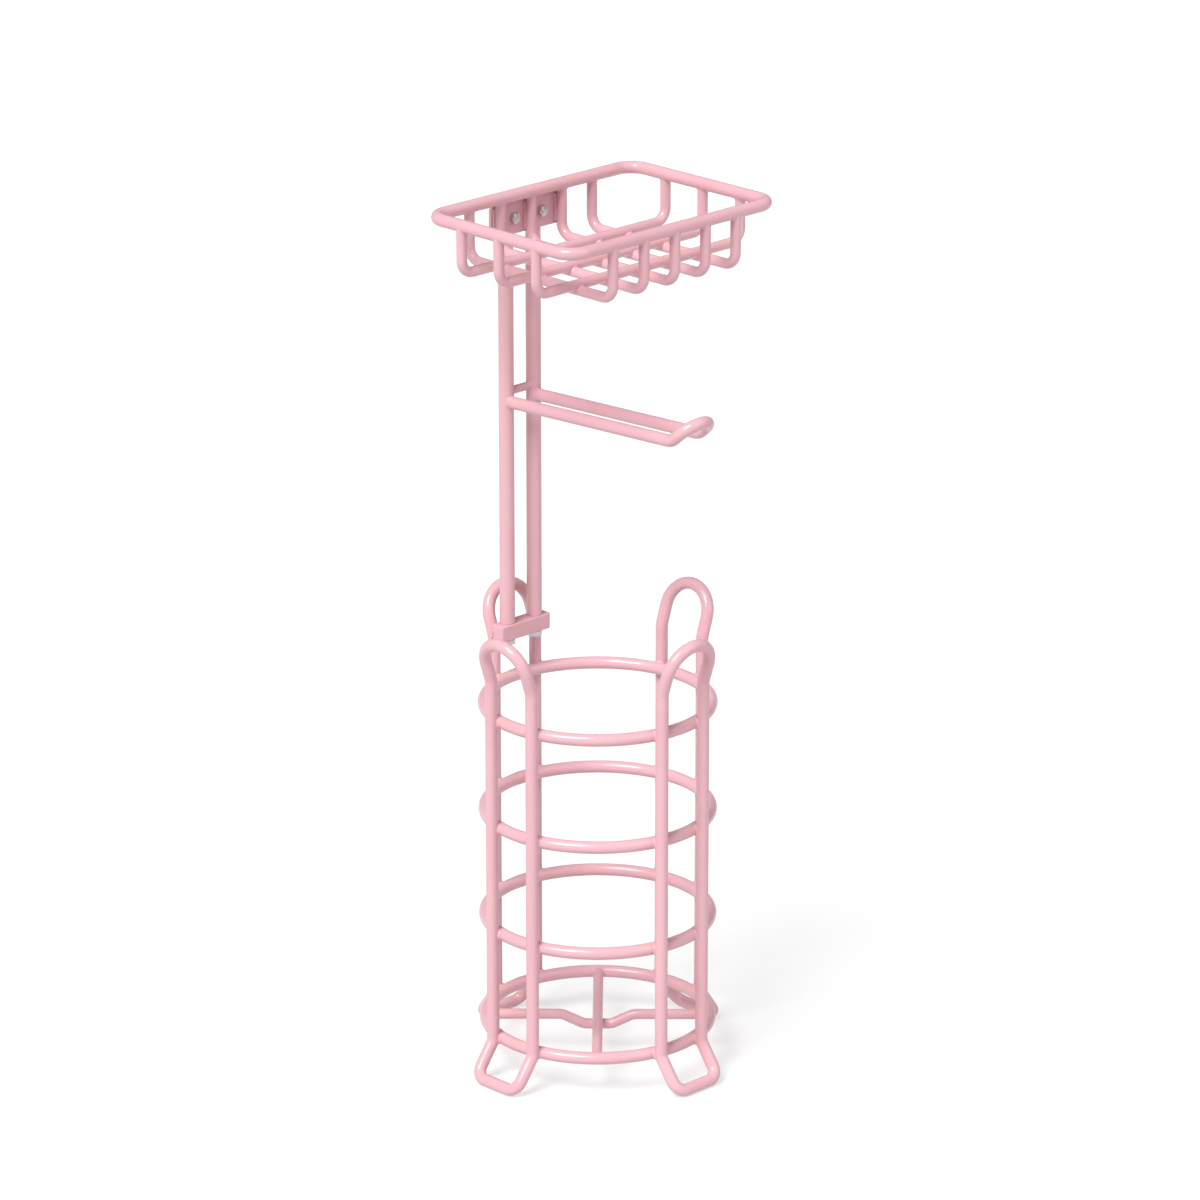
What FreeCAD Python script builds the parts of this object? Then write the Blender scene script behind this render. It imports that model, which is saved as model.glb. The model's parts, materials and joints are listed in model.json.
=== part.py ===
import FreeCAD
import Part
import math
import os

# Free-standing toilet roll storage holder of bent steel wire and tube.
# Lengths in millimetres, angles in degrees. +Z is up, the floor is z = 0, the origin is on the basket's axis,
# the roll arm points to -Y and the posts stand at the back, on the +Y side.

# Stock
frame_wire = 9.0            # diameter of the hoops, uprights, tray rim and roll arm
light_wire = 7.5            # diameter of the tray's and the basket floor's wires
crossbar_wire = 6.0         # diameter of the bar between the posts
post_diameter = 11.0
post_wall = 1.2
weld_gap = 0.05             # between two pieces that are welded together
hoop_set_down = 2.5         # how far the spot welds press hoops and uprights into each other
tray_set_down = 3.5         # how far they press the tray's crossed wires into each other

# Basket hoops
ring_names = ("bottom", "lower", "upper", "top")
ring_radius = 81.5          # to the wire's centre line
bottom_ring_height = 29.0
ring_pitch = 81.0

# Uprights
upright_width = 41.0        # between the centre lines of an upright's two rods
neck_rise = 32.0            # from the top hoop to where the rods start to lean outwards
neck_bend_radius = 16.0
loop_lean = 18.0
loop_straight = 12.2        # of each rod, between the neck's bend and the round top
leg_bend_drop = 1.0         # from the bottom hoop to where the rods splay into the foot
leg_bend_radius = 9.0
foot_splay = 17.0           # of the foot bar, outside the plane of the rods
foot_corner_radius = 9.0

# Basket floor
floor_turn = 45.0           # angle of the floor wires from the uprights
dip_flat = 20.0             # length of the lower wire's flat middle
dip_run = 52.0              # length over which it dips
dip_bend_radius = 12.0

# Posts and the bracket that they stand on
post_spacing = 27.0
post_setback = 6.6          # posts' centre line inside the plane of the back upright's rods
bracket_rise = 11.0         # of its top above the neck
bracket_height = 12.0
bracket_depth = 12.0
bracket_overlap = 4.0       # of each end past the rod's centre line

# Screws that hold the posts
screw_diameter = 6.0
screw_length = 24.0
screw_head_diameter = 11.0
screw_head_height = 4.0
screw_socket = 4.0          # across the flats
screw_socket_depth = 2.4
screw_clearance = 0.2       # around the screw in the bracket's hole
thread_clearance = 0.05     # around a screw in its thread, radial
plug_length = 16.0
plug_clearance = 0.05       # around a plug in its tube, radial
cap_stem_length = 8.0
cap_height = 3.0

# Roll arm
arm_height = 482.0          # where it leaves the posts
arm_slope = 2.5             # its climb from there to the bend, which keeps a roll on
arm_bend_reach = 87.0       # from the basket's axis to the bend at the tip
arm_bend_radius = 12.0
arm_tip_rise = 42.0
arm_tip_straight = 2.4      # between that bend and the round end
crossbar_rise = 7.0         # above the arm

# Tray
rim_height = 637.0          # to the rim's centre line
tray_length = 198.0
tray_width = 141.0
rim_corner_radius = 14.0
long_wire_drop = 34.5       # from the rim's centre line to that of the long wires' flat
tray_bend_radius = 10.0
long_wire_pitch = 37.0
cross_wire_pitch = 30.0

# Plate and bolts that hold the tray on the posts
plate_thickness = 3.0
plate_height = 24.0
plate_margin = 1.5          # past the outer legs that it is welded to
plate_drop = 1.5            # below the rim
bolt_diameter = 4.0
bolt_clearance = 0.2
bolt_end = 1.0              # past the nut
bolt_head_diameter = 8.0
bolt_head_height = 2.6
bolt_slot_width = 1.2
bolt_slot_depth = 1.2
nut_across_flats = 7.0
nut_height = 3.2
overrun = 5.0               # of a cutting tool past what it cuts

# Worked out from the sizes above
frame_r = frame_wire / 2
light_r = light_wire / 2
post_r = post_diameter / 2
bore_r = post_r - post_wall
half_width = upright_width / 2
half_spacing = post_spacing / 2
ring_heights = [bottom_ring_height + i * ring_pitch for i in range(len(ring_names))]
rod_plane = math.sqrt((ring_radius + frame_wire - hoop_set_down) ** 2 - half_width ** 2)
neck_height = ring_heights[-1] + neck_rise
lean = math.radians(loop_lean)
loop_run = neck_bend_radius * math.tan(lean / 2) + loop_straight + half_width
loop_out = rod_plane + loop_run * math.sin(lean)
loop_height = neck_height + loop_run * math.cos(lean)
leg_bend_height = bottom_ring_height - leg_bend_drop
foot_reach = rod_plane + foot_splay
post_y = rod_plane - post_setback
post_top = rim_height - frame_r
bracket_top = neck_height + bracket_rise
bracket_bottom = bracket_top - bracket_height
arm_bend_height = arm_height + (post_y + arm_bend_reach) * math.tan(math.radians(arm_slope))
tip_rise = math.radians(arm_tip_rise)
tip_turn = math.radians(arm_tip_rise - arm_slope)
arm_tip_length = arm_bend_radius * math.tan(tip_turn / 2) + arm_tip_straight + half_spacing
rim_back = post_y - post_r - weld_gap - plate_thickness - weld_gap
tray_y = rim_back - frame_r - tray_width / 2
leg_outset = frame_r - light_r
cross_wire_drop = long_wire_drop + light_wire - tray_set_down
plate_top = post_top - plate_drop
bolt_height = plate_top - plate_height / 2
plate_front = rim_back + weld_gap
plate_back = plate_front + plate_thickness

UP = FreeCAD.Vector(0, 0, 1)
BACK = FreeCAD.Vector(0, 1, 0)
RIGHT = FreeCAD.Vector(1, 0, 0)


def at(x, y, z):
    return FreeCAD.Vector(x, y, z)


def bend(before, corner, after, radius):
    """Arc of the given radius, tangent to the two runs that meet at a corner, as its three points."""
    a = (before - corner).normalize()
    b = (after - corner).normalize()
    half = a.getAngle(b) / 2
    inward = (a + b).normalize()
    middle = corner + inward * (radius / math.sin(half) - radius)
    reach = radius / math.tan(half)
    return corner + a * reach, middle, corner + b * reach


def bent_path(points, radii, closed=False):
    """Straight runs between points, with an arc of its own radius at each corner (0 at a free end)."""
    count = len(points)
    stops = []
    for i in range(count):
        if radii[i]:
            stops.append(bend(points[i - 1], points[i], points[(i + 1) % count], radii[i]))
        else:
            stops.append((points[i],))
    edges = []
    for i, stop in enumerate(stops):
        if len(stop) > 1:
            edges.append(Part.Arc(*stop).toShape())
        if closed or i + 1 < count:
            following = stops[(i + 1) % count][0]
            if stop[-1].distanceToPoint(following) > FreeCAD.Base.Precision.confusion():
                edges.append(Part.makeLine(stop[-1], following))
    return Part.Wire(edges)


def bent_wire(path, diameter):
    """Round wire along a path of straight runs and arcs."""
    first = path.OrderedEdges[0]
    start = first.FirstParameter
    section = Part.Wire(Part.makeCircle(diameter / 2, first.valueAt(start), first.tangentAt(start)))
    sweep = Part.BRepOffsetAPI.MakePipeShell(path)
    sweep.add(section, False, False)
    sweep.build()
    sweep.makeSolid()
    return sweep.shape()


def rod(start, end, diameter):
    """Straight round bar between two points."""
    along = end - start
    return Part.makeCylinder(diameter / 2, along.Length, start, along)


def hexagon_bar(across_flats, length, start, along):
    """Six-sided bar: the shape of a nut or of a socket."""
    corner_r = across_flats / math.sqrt(3)
    turn = FreeCAD.Rotation(UP, along)
    corners = []
    for i in range(6):
        angle = i * math.pi / 3
        corners.append(start + turn.multVec(at(corner_r * math.cos(angle), corner_r * math.sin(angle), 0)))
    face = Part.Face(Part.makePolygon(corners + corners[:1]))
    return face.extrude(along * length)


def ring(height):
    """Hoop, coped where the spot welds press the uprights into it."""
    hoop = Part.makeTorus(ring_radius, frame_r, at(0, 0, height), UP)
    for quarter_turns in range(4):
        hoop = hoop.cut(bent_wire(upright_path(quarter_turns), frame_wire + 2 * weld_gap))
    return hoop.Solids[0]


def upright_path(quarter_turns):
    """Closed loop of one upright, turned about the basket's axis from the front."""
    side = [
        (rod_plane, neck_height, neck_bend_radius),
        (loop_out, loop_height, half_width),
        (loop_out, loop_height, half_width),
        (rod_plane, neck_height, neck_bend_radius),
        (rod_plane, leg_bend_height, leg_bend_radius),
        (foot_reach, frame_r, foot_corner_radius),
        (foot_reach, frame_r, foot_corner_radius),
        (rod_plane, leg_bend_height, leg_bend_radius),
    ]
    sides = [-1, -1, 1, 1, 1, 1, -1, -1]
    turn = FreeCAD.Rotation(UP, 90 * quarter_turns)
    points = [turn.multVec(at(s * half_width, -out, z)) for s, (out, z, _) in zip(sides, side)]
    return bent_path(points, [radius for _, _, radius in side], closed=True)


def floor_wires():
    """Straight wire and the one that dips below it, both coped to the inside of the bottom hoop."""
    reach = ring_radius
    z = bottom_ring_height
    low = z - light_wire - weld_gap
    seat = Part.makeTorus(ring_radius, frame_r + weld_gap, at(0, 0, z), UP)
    over = rod(at(-reach, 0, z), at(reach, 0, z), light_wire)
    half = [(reach, z, 0), (dip_run / 2, z, dip_bend_radius), (dip_flat / 2, low, dip_bend_radius)]
    points = [at(0, -y, height) for y, height, _ in half] + [at(0, y, height) for y, height, _ in half[::-1]]
    radii = [radius for _, _, radius in half + half[::-1]]
    under = bent_wire(bent_path(points, radii), light_wire)
    wires = []
    for wire in (over, under):
        wire = wire.cut(seat).Solids[0]
        wire.rotate(at(0, 0, 0), UP, floor_turn)
        wires.append(wire)
    return wires


def post_bracket():
    """Square bar, coped round the back upright's rods, with a hole under each post."""
    half_length = half_width + bracket_overlap
    corner = at(-half_length, post_y - bracket_depth / 2, bracket_bottom)
    bar = Part.makeBox(2 * half_length, bracket_depth, bracket_height, corner)
    bar = bar.cut(bent_wire(upright_path(2), frame_wire + 2 * weld_gap))
    hole = screw_diameter + 2 * screw_clearance
    for x in (-half_spacing, half_spacing):
        low = at(x, post_y, bracket_bottom - overrun)
        bar = bar.cut(rod(low, at(x, post_y, bracket_top + overrun), hole))
    return bar.Solids[0]


def post(x):
    """Open tube, drilled across near its top for the tray's bolt."""
    low = at(x, post_y, bracket_top)
    tube = rod(low, at(x, post_y, post_top), post_diameter)
    tube = tube.cut(rod(low - UP * overrun, at(x, post_y, post_top + overrun), 2 * bore_r))
    drill_y = post_r + overrun
    drill = rod(at(x, post_y - drill_y, bolt_height), at(x, post_y + drill_y, bolt_height),
                bolt_diameter + 2 * bolt_clearance)
    return tube.cut(drill)


def post_thread_plug(x):
    """Threaded plug, flush with the post's lower end. The thread is drawn as a plain bore."""
    low = at(x, post_y, bracket_top)
    plug = rod(low, low + UP * plug_length, 2 * (bore_r - plug_clearance))
    bore = rod(low - UP * overrun, low + UP * (plug_length + overrun), screw_diameter + 2 * thread_clearance)
    return plug.cut(bore)


def post_screw(x):
    """Socket screw that comes up through the bracket into the plug."""
    seat = at(x, post_y, bracket_bottom)
    head = rod(seat - UP * screw_head_height, seat, screw_head_diameter)
    shank = rod(seat, seat + UP * screw_length, screw_diameter)
    socket = hexagon_bar(screw_socket, screw_socket_depth, seat - UP * screw_head_height, UP)
    return head.fuse(shank).cut(socket).removeSplitter()


def post_end_cap(x):
    """Stem in the tube and a domed head on its end."""
    seat = at(x, post_y, post_top)
    stem = rod(seat - UP * cap_stem_length, seat, 2 * (bore_r - plug_clearance))
    dome_r = (post_r ** 2 + cap_height ** 2) / (2 * cap_height)
    ball = Part.makeSphere(dome_r, seat + UP * (cap_height - dome_r))
    head = ball.common(rod(seat, seat + UP * (cap_height + overrun), post_diameter + overrun))
    return stem.fuse(head).removeSplitter()


def post_pair(piece):
    """The same small piece at both posts, as one group of two solids."""
    return Part.makeCompound([piece(-half_spacing), piece(half_spacing)])


def arm_crossbar():
    """Bar between the posts, coped to them."""
    z = arm_height + crossbar_rise
    bar = rod(at(-half_spacing, post_y, z), at(half_spacing, post_y, z), crossbar_wire)
    for x in (-half_spacing, half_spacing):
        bar = bar.cut(post_shadow(x, z))
    return bar.Solids[0]


def post_shadow(x, z):
    """Solid stretch of a post with the weld gap round it, for coping what is welded to it."""
    reach = UP * frame_wire
    return rod(at(x, post_y, z) - reach, at(x, post_y, z) + reach, post_diameter + 2 * weld_gap)


def roll_arm():
    """Hairpin from post to post, with its round end turned up."""
    bend_y = -arm_bend_reach
    tip_y = bend_y - arm_tip_length * math.cos(tip_rise)
    tip_z = arm_bend_height + arm_tip_length * math.sin(tip_rise)
    points = [
        at(-half_spacing, post_y, arm_height),
        at(-half_spacing, bend_y, arm_bend_height),
        at(-half_spacing, tip_y, tip_z),
        at(half_spacing, tip_y, tip_z),
        at(half_spacing, bend_y, arm_bend_height),
        at(half_spacing, post_y, arm_height),
    ]
    radii = [0, arm_bend_radius, half_spacing, half_spacing, arm_bend_radius, 0]
    arm = bent_wire(bent_path(points, radii), frame_wire)
    for x in (-half_spacing, half_spacing):
        arm = arm.cut(post_shadow(x, arm_height))
    return arm.Solids[0]


def rim_path():
    half_length = tray_length / 2
    front = tray_y - tray_width / 2
    back = tray_y + tray_width / 2
    points = [
        at(-half_length, front, rim_height),
        at(half_length, front, rim_height),
        at(half_length, back, rim_height),
        at(-half_length, back, rim_height),
    ]
    return bent_path(points, [rim_corner_radius] * 4, closed=True)


def tray_wire(along, middle, half_span, drop):
    """U-shaped wire under the rim: two legs, coped to the rim's underside, and a flat between them."""
    reach = half_span + leg_outset
    low = at(0, 0, -drop)
    points = [middle - along * reach, middle - along * reach + low,
              middle + along * reach + low, middle + along * reach]
    wire = bent_wire(bent_path(points, [0, tray_bend_radius, tray_bend_radius, 0]), light_wire)
    return wire.cut(bent_wire(rim_path(), frame_wire + 2 * weld_gap)).Solids[0]


def tray_long_wire(step):
    middle = at(0, tray_y + step * long_wire_pitch, rim_height)
    return tray_wire(RIGHT, middle, tray_length / 2, long_wire_drop)


def tray_cross_wire(step):
    """Wire under the long ones, coped where the spot welds press them into it."""
    middle = at(step * cross_wire_pitch, tray_y, rim_height)
    wire = tray_wire(BACK, middle, tray_width / 2, cross_wire_drop)
    for long_step in (-1, 0, 1):
        place = middle + BACK * (long_step * long_wire_pitch) - UP * long_wire_drop
        wire = wire.cut(rod(place - RIGHT * light_wire, place + RIGHT * light_wire, light_wire + 2 * weld_gap))
    return wire.Solids[0]


def tray_mount_plate():
    """Plate behind the tray's three middle legs, with a hole in front of each post."""
    half_length = cross_wire_pitch + light_r + plate_margin
    corner = at(-half_length, plate_front, plate_top - plate_height)
    plate = Part.makeBox(2 * half_length, plate_thickness, plate_height, corner)
    hole = bolt_diameter + 2 * bolt_clearance
    for x in (-half_spacing, half_spacing):
        front = at(x, plate_front - overrun, bolt_height)
        plate = plate.cut(rod(front, at(x, plate_back + overrun, bolt_height), hole))
    return plate


def tray_bolt(x):
    """Slotted bolt from behind, through the post and the plate, past the nut."""
    seat = at(x, post_y + post_r, bolt_height)
    end = at(x, plate_front - nut_height - bolt_end, bolt_height)
    head = rod(seat, seat + BACK * bolt_head_height, bolt_head_diameter)
    slot_corner = seat + BACK * (bolt_head_height - bolt_slot_depth)
    slot_corner = slot_corner - RIGHT * bolt_head_diameter - UP * (bolt_slot_width / 2)
    slot = Part.makeBox(2 * bolt_head_diameter, bolt_slot_depth + overrun, bolt_slot_width, slot_corner)
    return head.cut(slot).fuse(rod(end, seat, bolt_diameter)).removeSplitter()


def tray_nut(x):
    seat = at(x, plate_front, bolt_height)
    nut = hexagon_bar(nut_across_flats, nut_height, seat, -BACK)
    thread = bolt_diameter + 2 * thread_clearance
    return nut.cut(rod(seat + BACK * overrun, seat - BACK * (nut_height + overrun), thread))


def build():
    nodes = {}
    for name, height in zip(ring_names, ring_heights):
        nodes["ring_" + name] = ring(height)
    for quarter_turns, name in enumerate(("front", "right", "back", "left")):
        nodes["upright_" + name] = bent_wire(upright_path(quarter_turns), frame_wire)
    nodes["floor_wire_over"], nodes["floor_wire_under"] = floor_wires()
    nodes["post_bracket"] = post_bracket()
    nodes["post_left"] = post(-half_spacing)
    nodes["post_right"] = post(half_spacing)
    nodes["post_thread_plugs"] = post_pair(post_thread_plug)
    nodes["post_screws"] = post_pair(post_screw)
    nodes["post_end_caps"] = post_pair(post_end_cap)
    nodes["arm_crossbar"] = arm_crossbar()
    nodes["roll_arm"] = roll_arm()
    nodes["tray_rim"] = bent_wire(rim_path(), frame_wire)
    for step, name in zip((-1, 0, 1), ("front", "middle", "back")):
        nodes["tray_long_wire_" + name] = tray_long_wire(step)
    for step in (-2, -1, 0, 1, 2):
        nodes["tray_cross_wire_" + str(step + 3)] = tray_cross_wire(step)
    nodes["tray_mount_plate"] = tray_mount_plate()
    nodes["tray_bolts"] = post_pair(tray_bolt)
    nodes["tray_nuts"] = post_pair(tray_nut)
    return nodes


os.makedirs("parts", exist_ok=True)
for name, shape in build().items():
    box = shape.BoundBox
    print(f"{name}: {len(shape.Solids)} solid(s), valid {shape.isValid()}, {shape.Volume:.0f} mm3, "
          f"x {box.XMin:.1f} to {box.XMax:.1f}, y {box.YMin:.1f} to {box.YMax:.1f}, "
          f"z {box.ZMin:.1f} to {box.ZMax:.1f}")
    shape.exportStep("parts/" + name + ".step")
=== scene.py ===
# %% [markdown]
# # Dressing a wire stand for toilet rolls
# The stand is bent steel wire: a round basket for spare rolls, two posts, a hairpin arm and a tray. It is
# welded, then powder coated in one satin pink. The measured model already says where every wire lies, so
# this lesson gives each wire a fine surface, fills the welded corners with paint, and sets light that
# shows both. Bevelled Blender curves would do for plain wire, but surfaces worked out with numpy also
# give us welds, threads and rounded plates.

# %% Load the measured frame
import json
import math

import bpy
import numpy as np
from mathutils import Matrix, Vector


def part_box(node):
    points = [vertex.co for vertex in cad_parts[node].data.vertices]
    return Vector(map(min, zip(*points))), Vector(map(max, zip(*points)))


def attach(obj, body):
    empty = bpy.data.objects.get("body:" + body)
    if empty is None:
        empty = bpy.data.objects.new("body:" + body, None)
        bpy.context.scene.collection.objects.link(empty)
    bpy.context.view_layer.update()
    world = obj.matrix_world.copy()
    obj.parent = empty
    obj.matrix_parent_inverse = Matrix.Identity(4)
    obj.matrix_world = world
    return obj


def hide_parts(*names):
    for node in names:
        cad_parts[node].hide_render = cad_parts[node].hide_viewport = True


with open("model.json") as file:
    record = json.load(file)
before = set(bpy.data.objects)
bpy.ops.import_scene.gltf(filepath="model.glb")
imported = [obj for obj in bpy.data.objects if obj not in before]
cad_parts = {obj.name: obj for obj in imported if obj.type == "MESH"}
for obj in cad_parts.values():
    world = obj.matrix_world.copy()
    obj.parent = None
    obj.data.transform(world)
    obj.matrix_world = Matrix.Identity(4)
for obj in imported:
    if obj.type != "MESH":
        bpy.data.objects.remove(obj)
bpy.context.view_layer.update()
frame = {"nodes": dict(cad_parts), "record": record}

# %% [markdown]
# ## Stock
# A wire is known by its thickness and its centre line. The thicknesses are written here once, in metres.
# The places are read from the boxes of the measured pieces, so the dressed stand stays where the measured
# one is. Every finished piece is noted in a list with the finish that its measured piece has, and gets
# its paint near the end.

# %% Thicknesses, places and the list of finished pieces
frame_wire = 0.009
light_wire = 0.0075
crossbar_wire = 0.006
frame_r, light_r, crossbar_r = frame_wire / 2, light_wire / 2, crossbar_wire / 2
RIGHT, BACK, UP = np.eye(3)
slot_of = {part["node"]: part["material_slot"] for part in frame["record"]["subparts"]}
finished = []


def low(node, axis):
    """The lowest place of a measured piece along x, y or z."""
    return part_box(node)[0]["xyz".index(axis)]


def high(node, axis):
    """The highest place of a measured piece along x, y or z."""
    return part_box(node)[1]["xyz".index(axis)]


def middle(node, axis):
    """Half way between the two."""
    return (low(node, axis) + high(node, axis)) / 2


def takes_place_of(node, piece):
    """The piece moves with the stand, hides its measured piece and wears that one's finish."""
    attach(piece, "root")
    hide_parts(node)
    finished.append((piece, slot_of[node]))


print("finishes in the record:", sorted(set(slot_of.values())))

# %% [markdown]
# ## From a grid of points to a mesh
# Every shape below is a grid: one direction runs along the piece, the other goes round it. Blender wants
# corner points and faces, and the faces of a grid are pure counting, so numpy writes them all at once. A
# wire that closes on itself is marked as a ring. Any other grid gets a flat face at both ends, so that
# every piece is a closed skin.

# %% Grid to mesh
sharp_from = 35.0


def grid_faces(rows, columns, first, ring):
    """Face corners of a grid that closes sideways: a point, the one beside it, and both again a row later."""
    row = np.arange(rows if ring else rows - 1)[:, None] * columns
    later = (row + columns) % (rows * columns)
    column = np.arange(columns)[None, :]
    beside = (column + 1) % columns
    corners = np.stack([row + column, row + beside, later + beside, later + column], axis=-1)
    return (first + corners.reshape(-1, 4)).tolist()


def skin(name, sheets, ring=False):
    """One mesh object from a list of grids, each an array of points by row, column and x, y, z."""
    faces = []
    first = 0
    for sheet in sheets:
        rows, columns = sheet.shape[:2]
        faces += grid_faces(rows, columns, first, ring)
        if not ring:
            end = first + (rows - 1) * columns
            faces += [list(range(first, first + columns))[::-1], list(range(end, end + columns))]
        first += rows * columns
    mesh = bpy.data.meshes.new(name)
    mesh.from_pydata(np.concatenate([sheet.reshape(-1, 3) for sheet in sheets]).tolist(), [], faces)
    mesh.shade_smooth()
    mesh.set_sharp_from_angle(angle=math.radians(sharp_from))
    piece = bpy.data.objects.new(name, mesh)
    bpy.context.scene.collection.objects.link(piece)
    print(f"{name}: {len(mesh.vertices)} points, {len(mesh.polygons)} faces")
    return piece


# %% [markdown]
# ## Bent wire
# A wire bender feeds straight wire and bends it round a pin, so a centre line is straight runs and arcs
# that touch them. Each arc comes from its corner, the two runs that meet there and the pin's radius. A
# round section is then carried along that line. A free spline would be easier to draw, but its bends
# would look squeezed by hand.

# %% Centre line of a bent wire
arc_step = math.radians(5)
run_step = 0.004
tiny = 1e-7


def unit(v):
    return v / np.linalg.norm(v, axis=-1, keepdims=True)


def bend(before, corner, after, radius):
    """Arc in a corner: centre + radius (sin w forward - cos w inward), for w up to half the turn each way."""
    a, b = unit(before - corner), unit(after - corner)
    inward, forward = unit(a + b), unit(b - a)
    half_turn = math.pi / 2 - math.acos(np.clip(a @ b, -1, 1)) / 2
    centre = corner + inward * radius / math.cos(half_turn)
    w = np.linspace(-half_turn, half_turn, math.ceil(2 * half_turn / arc_step) + 2)[:, None]
    places = centre + radius * (np.sin(w) * forward - np.cos(w) * inward)
    return places, np.cos(w) * forward + np.sin(w) * inward


def bent_line(corners, radii, closed=False):
    """Points and directions of straight runs with an arc at each corner, where radius 0 marks a free end."""
    corners = np.array(corners, float)
    stops = []
    for i, radius in enumerate(radii):
        if radius:
            stops.append(bend(corners[i - 1], corners[i], corners[(i + 1) % len(corners)], radius))
        else:
            run = corners[1] - corners[0] if i == 0 else corners[i] - corners[i - 1]
            stops.append((corners[i][None], unit(run)[None]))
    points, ways = [], []
    for i, (places, directions) in enumerate(stops):
        points.append(places)
        ways.append(directions)
        if closed or i + 1 < len(stops):
            run = stops[(i + 1) % len(stops)][0][0] - places[-1]
            share = np.linspace(0, 1, int(np.linalg.norm(run) / run_step) + 2)[1:-1, None]
            points.append(places[-1] + share * run)
            ways.append(np.repeat(directions[-1:], len(share), axis=0))
    points, ways = np.concatenate(points), np.concatenate(ways)
    apart = np.linalg.norm(points - np.roll(points, 1, axis=0), axis=1) > tiny
    return points[apart], ways[apart]


corner_test = bent_line([BACK, 0 * BACK, RIGHT], [0, frame_wire, 0])
print("a square corner takes", len(corner_test[0]), "points and ends at", corner_test[0][-1])

# %% Round section along a centre line
wire_sides = 48


def round_bar(line, side, radius):
    """Wire skin: centre + radius (cos a across + sin a around). Across is the side direction made square to
    the wire, and around is square to both."""
    centre, way = line
    across = unit(side - (way @ side)[:, None] * way)
    around = np.cross(way, across)
    a = np.linspace(0, 2 * math.pi, wire_sides, endpoint=False)[None, :, None]
    radius = np.broadcast_to(radius, len(centre))[:, None, None]
    return centre[:, None] + radius * (np.cos(a) * across[:, None] + np.sin(a) * around[:, None])


print("a wire has", wire_sides, "sides, within", frame_r * (1 - math.cos(math.pi / wire_sides)), "m of round")

# %% [markdown]
# ## Basket hoops
# Four hoops hold the rolls. A hoop is one length of wire, rolled to a circle, with its two ends butt
# welded and dressed down, which leaves a slight swelling. It lies at the back, where the posts hide it. A
# torus primitive would give the circle, but not the swelling, so the wire's radius is a function of the
# place along the hoop.

# %% Hoops
hoop_points = 288
seam_swell = 0.0002
seam_length = 0.004
ring_nodes = ["ring_bottom", "ring_lower", "ring_upper", "ring_top"]
ring_radius = high("ring_top", "x") - frame_r
ring_heights = [middle(node, "z") for node in ring_nodes]

t = np.linspace(0, 2 * math.pi, hoop_points, endpoint=False)[:, None]
outward = np.cos(t) * RIGHT + np.sin(t) * BACK
onward = np.cos(t) * BACK - np.sin(t) * RIGHT
from_seam = np.linalg.norm(ring_radius * (outward - BACK), axis=1)
hoop_r = frame_r + seam_swell * np.exp(-(from_seam / seam_length) ** 2)
for node, height in zip(ring_nodes, ring_heights):
    hoop = round_bar((ring_radius * outward + height * UP, onward), UP, hoop_r)
    takes_place_of(node, skin(node + "_painted", [hoop], ring=True))
print("hoops: radius", round(ring_radius, 4), "at heights", np.round(ring_heights, 4))

# %% [markdown]
# ## Uprights
# Four uprights stand round the hoops. Each is one closed loop: two rods, a round top that leans outwards
# so that rolls drop in easily, and legs that splay to a foot bar on the floor. We write one side's
# corners from top to bottom, mirror them for the other side, and turn the loop by quarter turns, because
# all four come off the same bender.

# %% Uprights
neck_rise = 0.032
loop_lean = math.radians(18)
neck_radius = 0.016
leg_drop = 0.001
leg_radius = 0.009
foot_radius = 0.009
half_width = high("upright_front", "x") - frame_r
rod_plane = low("upright_right", "x") + frame_r
foot_reach = high("upright_right", "x") - frame_r
neck_height = ring_heights[-1] + neck_rise
loop_height = high("upright_right", "z") - frame_r
loop_reach = rod_plane + (loop_height - neck_height) * math.tan(loop_lean)
leg_height = ring_heights[0] - leg_drop


def upright(quarter):
    """Closed loop: reach, height and bend radius from top to foot, mirrored and turned round the basket."""
    half = [(loop_reach, loop_height, half_width), (rod_plane, neck_height, neck_radius),
            (rod_plane, leg_height, leg_radius), (foot_reach, frame_r, foot_radius)]
    angle = quarter * math.pi / 2
    outward = math.sin(angle) * RIGHT - math.cos(angle) * BACK
    sideways = math.cos(angle) * RIGHT + math.sin(angle) * BACK
    corners = [-half_width * sideways + reach * outward + z * UP for reach, z, _ in half]
    corners += [half_width * sideways + reach * outward + z * UP for reach, z, _ in half[::-1]]
    radii = [radius for _, _, radius in half + half[::-1]]
    return round_bar(bent_line(corners, radii, closed=True), outward, frame_r)


for quarter, node in enumerate(["upright_front", "upright_right", "upright_back", "upright_left"]):
    takes_place_of(node, skin(node + "_painted", [upright(quarter)], ring=True))
print("uprights: rods", round(rod_plane, 4), "from the axis, loops lean out to", round(loop_reach, 4))

# %% [markdown]
# ## Basket floor
# Two lighter wires cross under the rolls. One runs straight and the other dips below it, so that both
# ends can be welded to the same hoop. They end inside the hoop's wire, where the weld would be, so no cut
# end shows.

# %% Floor wires
floor_turn = math.radians(45)
dip_flat = 0.020
dip_run = 0.052
dip_radius = 0.012
floor_height = middle("floor_wire_over", "z")
dip_height = low("floor_wire_under", "z") + light_r
over_way = math.cos(floor_turn) * RIGHT + math.sin(floor_turn) * BACK
under_way = np.cross(UP, over_way)


def floor_wire(way, half):
    """Half a wire, as distances from the axis, heights and bend radii, mirrored past the axis."""
    corners = [-reach * way + z * UP for reach, z, _ in half]
    corners += [reach * way + z * UP for reach, z, _ in half[::-1]]
    radii = [radius for _, _, radius in half + half[::-1]]
    return round_bar(bent_line(corners, radii), np.cross(UP, way), light_r)


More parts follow.
